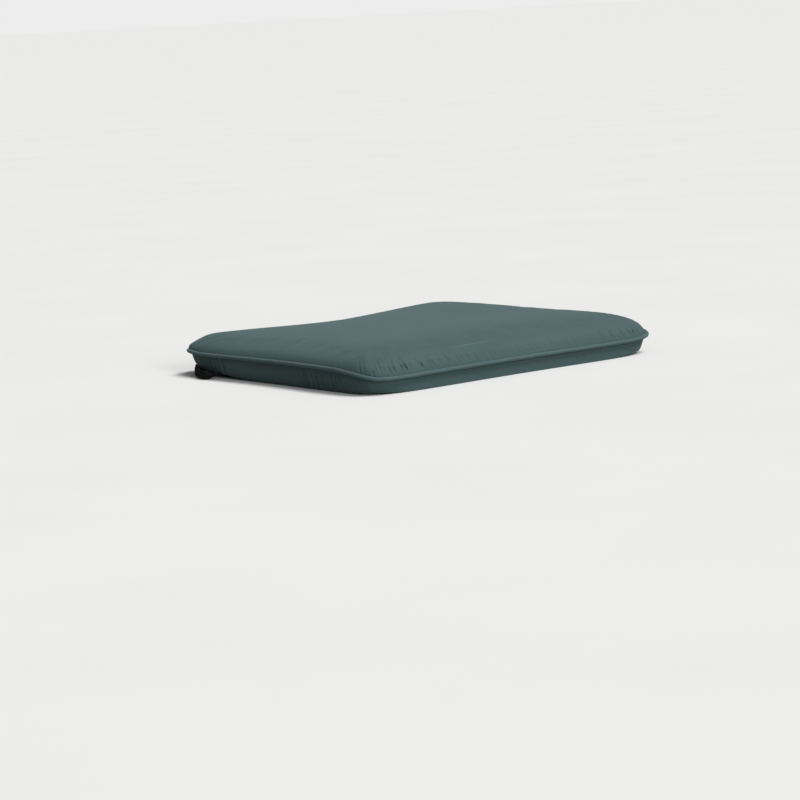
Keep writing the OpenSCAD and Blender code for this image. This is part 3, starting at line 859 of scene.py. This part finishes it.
def ring_piece(name, grid, flat, finish):
    """Closed ring from a grid that wraps both ways; flat has one row and one column more."""
    faces, row, col = quads(*grid.shape[:2], wrap_rows=True, wrap_cols=True)
    return make_piece(name, grid.reshape(-1, 3), [faces], [flat[row, col].reshape(-1, 2)], finish)


def closed_flat(section, along):
    """Flat coordinates of a ring: the distance round the pad by the distance round the section."""
    loop = np.concatenate([section, section[:1]])
    girth = np.concatenate([[0], np.cumsum(np.linalg.norm(np.diff(loop, axis=0), axis=1))])
    return np.stack(np.meshgrid(np.append(along, perimeter), girth), -1)


lip = math.radians(14)
outer_turn = np.linspace(math.pi - lip, lip - math.pi, 15)
inner_turn = outer_turn[::2][::-1]
bend = np.concatenate([
    [[-flange_in, piping_wall + 0.05 * mm]],
    piping_r * np.stack([np.cos(outer_turn), np.sin(outer_turn)], -1),
    [[-flange_in, -piping_wall - 0.05 * mm], [-flange_in, -0.05 * mm]],
    (piping_r - piping_wall) * np.stack([np.cos(inner_turn), 0.98 * np.sin(inner_turn)], -1),
    [[-flange_in, 0.05 * mm]]])
bias_turn = 45
wobble = 0.12 * mm
# The piping is painted a little lighter than the cover cloth it is cut from, as a painted highlight on the
# bead.
piping_finish = woven("piping cloth", scaled(cover_light, 1.06), cover_light, bias_turn)
grid, along = round_the_pad(bend, 2.4 * mm, wobble)
sleeve = ring_piece("piping_sleeve", grid, closed_flat(bend, along), piping_finish)
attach(sleeve, "cover")
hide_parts("piping_cover")


def twisted_cotton():
    """Undyed cotton cord with a slanting twist that follows the flat coordinates."""
    made, shader = new_material("cotton cord", roughness=0.9, sheen_weight=0.2)
    flat_place = cloth_place(made)
    split = add_node(made, "SeparateXYZ", {"Vector": flat_place})
    twist = wave(made, math_node(made, "ADD", *split.outputs[:2]), 2.7 * mm)
    tone = ranged(made, twist, -1, 1)
    colour_between(made, shader, tone, (0.6, 0.56, 0.47, 1), (0.82, 0.79, 0.7, 1))
    bump(made, shader, twist, 0.8, 0.3 * mm)
    return made


turn = np.linspace(0, -2 * math.pi, 10, endpoint=False)
circle = (piping_r - piping_wall - 0.15 * mm) * np.stack([np.cos(turn), np.sin(turn)], -1)
grid, along = round_the_pad(circle, 4.8 * mm, wobble)
filler = ring_piece("piping_filler", grid, closed_flat(circle, along), twisted_cotton())
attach(filler, "cover")
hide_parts("piping_cord")

# ---------- Top panel ----------
# One piece of cloth over the crown, sewn down all round against the piping, where it gathers in short
# slanting creases. It is held out by the filling, and lies in a few soft folds.

def finer(grid):
    """Twice as many points each way: a midpoint is (9 (b + c) - a - d) / 16 of its four neighbours."""
    for axis in (0, 1):
        g = np.moveaxis(grid, axis, 0)
        line = np.concatenate([2 * g[:1] - g[1:2], g, 2 * g[-1:] - g[-2:-1]])
        out = np.empty((2 * len(g) - 1,) + g.shape[1:])
        out[::2], out[1::2] = g, (9 * (line[1:-2] + line[2:-1]) - line[:-3] - line[3:]) / 16
        grid = np.moveaxis(out, 0, axis)
    return grid


def settled(face, slack, pressure, most, general):
    """How far each point of a sewn-down cloth moves when it settles on its filling: a cloth simulation of
    every fourth point, held along its border, a little slack and pressed out from below. A movement d is
    limited to d / (1 + |d| / most), and the general swelling is taken off again by the share of the height."""
    last_frame = 20
    start = face[::4, ::4]
    trial = make_piece("settling cloth", start.reshape(-1, 3), [quads(*start.shape[:2])[0]])
    number = np.arange(start[..., 0].size).reshape(start.shape[:2])
    border = np.unique(np.concatenate([number[0], number[-1], number[:, 0], number[:, -1]]))
    trial.vertex_groups.new(name="sewn").add(border.tolist(), 1.0, "ADD")
    cloth = trial.modifiers.new("cloth", "CLOTH")
    cloth.collision_settings.use_collision = False
    cloth.point_cache.frame_start, cloth.point_cache.frame_end = 1, last_frame
    way = cloth.settings
    way.vertex_group_mass = "sewn"
    way.quality, way.mass, way.air_damping = 6, 0.3, 5
    way.tension_stiffness, way.compression_stiffness = 15, 15
    way.shear_stiffness, way.bending_stiffness = 5, 0.05
    way.shrink_min = -slack
    way.use_pressure, way.uniform_pressure_force = True, pressure
    way.effector_weights.gravity = 0
    for step in range(1, last_frame + 1):
        bpy.context.scene.frame_set(step)
    shown = trial.evaluated_get(bpy.context.evaluated_depsgraph_get())
    ended = np.empty(start.size)
    shown.data.vertices.foreach_get("co", ended)
    bpy.context.scene.frame_set(1)
    bpy.data.objects.remove(trial)
    moved = ended.reshape(start.shape) - start
    moved = moved / (1 + np.linalg.norm(moved, axis=-1, keepdims=True) / most)
    height = start[..., 2] - start[..., 2].min()
    moved[..., 2] -= general * height / height.max()
    return finer(finer(moved))


top_seam_in = 2.6 * mm
top_face, top_flat, ux, uy = crown_grid(1.72 * mm, top_seam_in)
edge_flat = abs(top_flat[0, 0])
away = np.minimum(edge_flat[0] - np.abs(top_flat[..., 0]), edge_flat[1] - np.abs(top_flat[..., 1]))
along = along_outline(np.arctan2(uy, ux))
# Gathered stretches of the edge: each has its middle and its radius, in millimetres, and its strength.
top_zones = [(-160, -218, 75, 0.8), (-240, -200, 18, 0.4), (-30, -218, 90, 0.35), (195, -218, 55, 0.5),
             (-240, 195, 30, 0.6), (240, -150, 60, 0.35), (240, 180, 50, 0.5), (-100, 218, 80, 0.35),
             (120, 218, 90, 0.35)]
creases = gathers(along, away, top_zones, reach=7 * mm, depth=2.2 * mm, lean=-0.55, seed=21)
top_face = top_face + normals(top_face) * creases[..., None]
top_face = top_face + settled(top_face, slack=0.009, pressure=4, most=2.6 * mm, general=1.7 * mm)
# At the rear corners the cloth leans out over the piping.
at_corner = (2 ** (2 / corner_power) * np.abs(ux * uy)) ** 8
at_edge = (np.abs(top_flat) / edge_flat).max(-1) ** 8
overhang = 2.2 * mm * (uy > 0) * at_corner * at_edge
top_face[..., 0] += overhang * np.sign(ux)
top_face[..., 1] += overhang * np.sign(uy)
# Its material paints shade into the gathers by the front edge and a highlight along a pressed fold.
top_finish = woven("top cloth", cover_light, cover_dark, front_edge=float(edge_flat[1]))
top_cloth = cloth_piece("crown_cloth", top_face, top_flat, fabric_t, top_finish)
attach(top_cloth, "cover")
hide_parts("top_panel")

# ---------- Straps ----------
# Two closed straps of black polyester webbing, one at each rear corner, go round the back legs of a chair.
# Each has an inner tail with loop pile and an outer tail with hooks. Their ends are sewn flat into the lower
# seam, and they twist upright outside it.

webbing_w, webbing_t = 12 * mm, 1.2 * mm
strap_clearance = 0.4 * mm       # under the webbing's lower edge
patch_t = 0.9 * mm
patch_w = 10 * mm
middle_z = strap_clearance + webbing_w / 2
strap_lean = 154                 # angle at which the bend round the corner ends, in degrees
bend_centre = np.array([-189, 177.5]) * mm
inner_r = 34.2 * mm              # middle of the inner tail, from the bend's centre
outer_r = inner_r + webbing_t + 2 * patch_t + 0.3 * mm
run_end = 54 * mm                # where the outer tail starts to turn in, along the run beside the pad
turn_in_r = 11.6 * mm


def webbing_cloth():
    """Black narrow-woven tape: ribs across it between rows of warp threads along it, worn a little grey."""
    made, shader = new_material("webbing", roughness=0.8, specular_ior_level=0.15)
    flat_place = cloth_place(made)
    split = add_node(made, "SeparateXYZ", {"Vector": flat_place})
    weave = times(made, wave(made, split.outputs[0], 1.1 * mm), wave(made, split.outputs[1], 0.8 * mm))
    place = object_place(made)
    worn = times(made, ranged(made, noise(made, place, 90), 0.4, 0.75), ranged(made, weave, -1, 1))
    colour_between(made, shader, worn, (0.003, 0.004, 0.004, 1), (0.016, 0.018, 0.018, 1))
    bump(made, shader, weave, 0.6, 0.15 * mm)
    return made


def pile_cloth(name, scale, dark, light):
    """Dark brushed pile: fine mottling by noise, with its bump."""
    made, shader = new_material(name, roughness=0.9, specular_ior_level=0.15, sheen_weight=0.1)
    place = object_place(made)
    fuzz = noise(made, place, scale, 4, 0.7)
    colour_between(made, shader, ranged(made, fuzz, 0.35, 0.65), dark, light)
    bump(made, shader, fuzz, 0.8, 0.3 * mm)
    return made


def arc(centre, radius, start, end):
    """Points of an arc about a centre, from one angle to another, in degrees."""
    turn = np.radians(np.linspace(start, end, 60))
    return centre + radius * np.stack([np.cos(turn), np.sin(turn)], -1)


def beside_pad(away, forwards):
    """Place in plan on the straight run beside the pad, at a distance from the bend's centre and forwards."""
    a = math.radians(strap_lean)
    return bend_centre + np.multiply.outer(away, [math.cos(a), math.sin(a)]) + np.multiply.outer(
        forwards, [-math.sin(a), math.cos(a)])


def for_side(side, points):
    """The left side's points, mirrored for the right side."""
    return points * [-side, 1, 1]


def webbing(name, line, twist, side):
    """Strap along a plan line that starts flat in the lower seam and turns upright between two distances
    along it, by a smoothstep. Its section is flat with rounded edges: its half thickness follows
    (1 - u^6)^(1/2)."""
    along = np.concatenate([[0], np.cumsum(np.linalg.norm(np.diff(line, axis=0), axis=1))])
    even = np.linspace(0, along[-1], round(along[-1] / (0.9 * mm)) + 1)
    line = np.stack([np.interp(even, along, line[:, 0]), np.interp(even, along, line[:, 1])], -1)
    heading = np.gradient(line, axis=0)
    heading /= np.linalg.norm(heading, axis=1, keepdims=True)
    share = np.clip((even - twist[0]) / (twist[1] - twist[0]), 0, 1)
    share = share**2 * (3 - 2 * share)
    lying = (1 - share)[:, None] * math.pi / 2
    sideways = np.stack([heading[:, 1], -heading[:, 0], 0 * even], -1)
    across = np.cos(lying) * [0, 0, 1] + np.sin(lying) * sideways
    out = np.cos(lying) * sideways - np.sin(lying) * [0, 0, 1]
    angle = math.atan2(line[0, 1] / half_depth, line[0, 0] / half_width)
    foot = float(foot_height(*unit_points(np.array(angle), foot_power), 1.0))
    seam = foot + base_clearance + fabric_t + webbing_t / 2
    height = seam + share * (strap_clearance + webbing_w / 2 - seam)
    u = np.linspace(-1, 1, 13)
    thick = webbing_t / 2 * np.sqrt(np.maximum(1 - u**6, 0.12))
    section = np.concatenate([np.stack([u, thick], -1), np.stack([u, -thick], -1)[::-1]]) * [webbing_w / 2, 1]
    centres = np.column_stack([line, height])
    points = centres[:, None] + section[None, :, :1] * across[:, None] + section[None, :, 1:] * out[:, None]
    sides = len(section)
    faces, row, col = quads(len(line), sides, wrap_cols=True)
    girth = np.cumsum(np.linalg.norm(np.diff(section, axis=0, append=section[:1]), axis=1))
    flat = np.stack(np.meshgrid(even, np.append(0, girth), indexing="ij"), -1)
    ends = capped(len(line), sides)[1]
    flats = [flat[row, col][:, ::side].reshape(-1, 2), np.zeros((2 * sides, 2))]
    piece = make_piece(name, for_side(side, points.reshape(-1, 3)), [faces[:, ::side], ends[:, ::side]],
                       flats, black_webbing)
    return piece


def pile_patch(name, away, start, end, thickness, facing, uneven_by, finish, side):
    """Patch on the run beside the pad: its face looks away from the pad, or towards it where facing is -1,
    and is uneven by random heights."""
    low, high = middle_z - patch_w / 2, middle_z + patch_w / 2
    y, z = np.meshgrid(np.linspace(start, end, 41), np.linspace(low, high, 13), indexing="ij")
    rough = np.random.default_rng(31).uniform(-1, 0, y.shape) * uneven_by
    points = np.concatenate([beside_pad(away + rough, y), z[..., None]], -1)
    flat = np.stack([y, z], -1)
    turned = facing * side
    return cloth_piece(name, for_side(side, points)[:, ::turned], flat[:, ::turned], thickness, finish)


def hooks(name, away, start, end, finish, side):
    """Rows of small hooks that stand on the outer tail's inner face: square threads along a bent arc."""
    pitch, rows, row_reach = 1.5 * mm, 8, 4.2 * mm
    heights = np.linspace(middle_z - row_reach, middle_z + row_reach, rows)
    y, z = np.meshgrid(np.arange(start, end, pitch), heights, indexing="ij")
    turn = np.linspace(0, 1.25 * math.pi, 6)
    half = 0.09 * mm             # half of the thread's thickness
    reach, radius = 0.35 * mm, 0.3 * mm
    line = np.stack([reach + radius * np.sin(turn), radius * (1 - np.cos(turn))], -1)
    line = np.concatenate([[[0, 0]], line])
    normal = np.gradient(line, axis=0)[:, ::-1] * [-1, 1]
    normal /= np.linalg.norm(normal, axis=1, keepdims=True)
    corners = [(1, 1), (1, -1), (-1, -1), (-1, 1)]
    local = np.stack([np.concatenate([line + half * a * normal, np.full((len(line), 1), half * b)], 1)
                      for a, b in corners], 1)
    flat_place = beside_pad(away - local[..., 0], y.ravel()[:, None, None] + local[None, ..., 2])
    points = np.concatenate([flat_place, (z.ravel()[:, None, None] + local[None, ..., 1])[..., None]], -1)
    faces = repeated(np.concatenate(capped(len(line), 4)), y.size, 4 * len(line))
    return make_piece(name, for_side(side, points.reshape(-1, 3)), [faces[:, ::side]], None, finish)


black_webbing = webbing_cloth()
loops = pile_cloth("loop pile", 1500, (0.004, 0.005, 0.005, 1), (0.035, 0.038, 0.038, 1))
hook_base = pile_cloth("hook pile", 2600, (0.006, 0.006, 0.006, 1), (0.02, 0.021, 0.021, 1))
seam_stub = 9 * mm               # length of a tail's flat end, from inside the seam
turn_in_centre = beside_pad(outer_r - turn_in_r, run_end)
turn_in = arc(turn_in_centre, turn_in_r, 270, strap_lean)
outer_line = np.concatenate([turn_in[:1] + [seam_stub, 0], turn_in, beside_pad(outer_r, np.array([12 * mm]))])
from_seam_r = 10 * mm
from_seam = arc(bend_centre + [0, inner_r - from_seam_r], from_seam_r, 20, 90)
inner_line = np.concatenate([from_seam[:1] + [0.2 * seam_stub, -0.6 * seam_stub], from_seam,
                             arc(bend_centre, inner_r, 90, strap_lean)[1:],
                             beside_pad(inner_r, np.array([48 * mm]))])
hook_base_t = 0.3 * mm
for side, word in ((-1, "left"), (1, "right")):
    inner = webbing(word + "_inner_tail", inner_line, (6.5 * mm, 17 * mm), side)
    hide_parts(word + "_loop_tail")
    loop_face = inner_r + webbing_t / 2 + patch_t
    pile = pile_patch(word + "_loops", loop_face, 9 * mm, 45 * mm, 0.65 * mm, 1, 0.25 * mm, loops, side)
    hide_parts(word + "_loop_patch")
    outer = webbing(word + "_outer_tail", outer_line, (6 * mm, 22 * mm), side)
    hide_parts(word + "_hook_root", word + "_hook_tail")
    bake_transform(outer)
    hook_face = outer_r - webbing_t / 2 - hook_base_t
    base = pile_patch(word + "_hook_base", hook_face, 15 * mm, 47 * mm, hook_base_t, -1, 0, hook_base, side)
    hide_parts(word + "_hook_patch")
    small_hooks = hooks(word + "_hooks", hook_face, 16 * mm, 46 * mm, hook_base, side)
    for piece in (inner, pile):
        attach(piece, "cover")
    for piece in (base, small_hooks):
        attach(piece, word + "_strap")

tack_stitches = 17
across_row = np.linspace(-4.5, 4.5, tack_stitches) * mm
tack_places, tack_along = [], []
for line, start_at in ((outer_line, 6.5 * mm), (inner_line, 6 * mm)):
    heading = (line[1] - line[0]) / np.linalg.norm(line[1] - line[0])
    place = line[0] + heading * start_at
    angle = math.atan2(place[1] / half_depth, place[0] / half_width)
    foot = float(foot_height(*unit_points(np.array(angle), foot_power), 1.0))
    top = foot + base_clearance + fabric_t + webbing_t
    for side in (-1, 1):
        row = place + np.multiply.outer(across_row, [-heading[1], heading[0]])
        tack_places.append(for_side(side, np.column_stack([row, np.full(tack_stitches, top + 0.1 * mm)])))
        tack_along.append(np.tile(for_side(side, np.append(heading, 0)), (tack_stitches, 1)))
tack_places = np.concatenate(tack_places)
tack_across = np.tile([0.0, 0.0, 1.0], (len(tack_places), 1))
black_thread = sewing_thread("black thread", (0.008, 0.009, 0.009, 1), (0.03, 0.032, 0.032, 1))
tacks = stitches("strap_tacks", tack_places, np.concatenate(tack_along), tack_across, length=1.8 * mm,
                 thick=0.5 * mm, finish=black_thread)
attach(tacks, "cover")
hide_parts("bar_tacks")

# ---------- Floor, light and camera ----------
# A pale floor far larger than the pad, two wide distant lights and an even pale world.


def pale_floor():
    """Pale matt floor with a trace of mottling, which throws back less light than it shows."""
    made, shader = new_material("pale floor", roughness=0.85, specular_ior_level=0.2)
    place = object_place(made)
    tone = mottle(made, place, 3)
    seen = mixed(made, tone, (0.85, 0.845, 0.84, 1), (0.87, 0.865, 0.86, 1))
    from_camera = add_node(made, "LightPath", {}).outputs["Is Camera Ray"]
    bounce = 0.35
    colour_between(made, shader, from_camera, (bounce, bounce, bounce, 1), seen)
    return made


floor_r = 400
turn = np.linspace(0, 2 * math.pi, 64, endpoint=False)
rim = np.stack([floor_r * np.cos(turn), floor_r * np.sin(turn), 0 * turn], -1)
floor = make_piece("floor", rim, [np.arange(len(rim))[None]], None, pale_floor())


def direction(azimuth, elevation):
    """Direction from the pad, at an azimuth from the front towards the right and an elevation, in radians."""
    level = math.cos(elevation)
    return Vector((math.sin(azimuth) * level, -math.cos(azimuth) * level, math.sin(elevation)))


view_azimuth, view_elevation, view_roll = (math.radians(a) for a in (-38.85, 7.69, -3.14))
view_distance = 3872.6 * mm
view_target = Vector((0, 35.5, -51.2)) * mm
back = direction(view_azimuth, view_elevation)
level_right = Vector((math.cos(view_azimuth), math.sin(view_azimuth), 0))
level_up = back.cross(level_right)
right = level_right * math.cos(view_roll) + level_up * math.sin(view_roll)
up = level_up * math.cos(view_roll) - level_right * math.sin(view_roll)
lens = bpy.data.cameras.new("camera")
lens.lens = 129.7
lens.sensor_width = 36
camera = bpy.data.objects.new("camera", lens)
bpy.context.scene.collection.objects.link(camera)
turned = Matrix((right, up, back)).transposed().to_4x4()
camera.matrix_world = Matrix.Translation(view_target + back * view_distance) @ turned
bpy.context.scene.camera = camera


def soft_light(name, azimuth, elevation, strength, spread):
    """Distant light from a direction round the pad, as wide as a soft box: its spread is in degrees."""
    towards = direction(math.radians(azimuth), math.radians(elevation))
    light = bpy.data.lights.new(name, "SUN")
    light.energy = strength
    light.angle = math.radians(spread)
    lamp = bpy.data.objects.new(name, light)
    lamp.rotation_euler = towards.to_track_quat("Z", "Y").to_euler()
    bpy.context.scene.collection.objects.link(lamp)


soft_light("key light", 25, 60, 2.5, 30)
soft_light("front light", -12, 18, 1.35, 20)

world = bpy.data.worlds.new("studio")
world.use_nodes = True
bpy.context.scene.world = world
sky = world.node_tree.nodes["Background"]
sky.inputs["Color"].default_value = (1, 1, 1, 1)
path = world.node_tree.nodes.new("ShaderNodeLightPath")
strength = world.node_tree.nodes.new("ShaderNodeMapRange")
strength.inputs["To Min"].default_value = 0.18  # as light on the pad
strength.inputs["To Max"].default_value = 0.84  # as the backdrop
world.node_tree.links.new(path.outputs["Is Camera Ray"], strength.inputs["Value"])
world.node_tree.links.new(strength.outputs[0], sky.inputs["Strength"])
bpy.context.scene.view_settings.view_transform = "Standard"
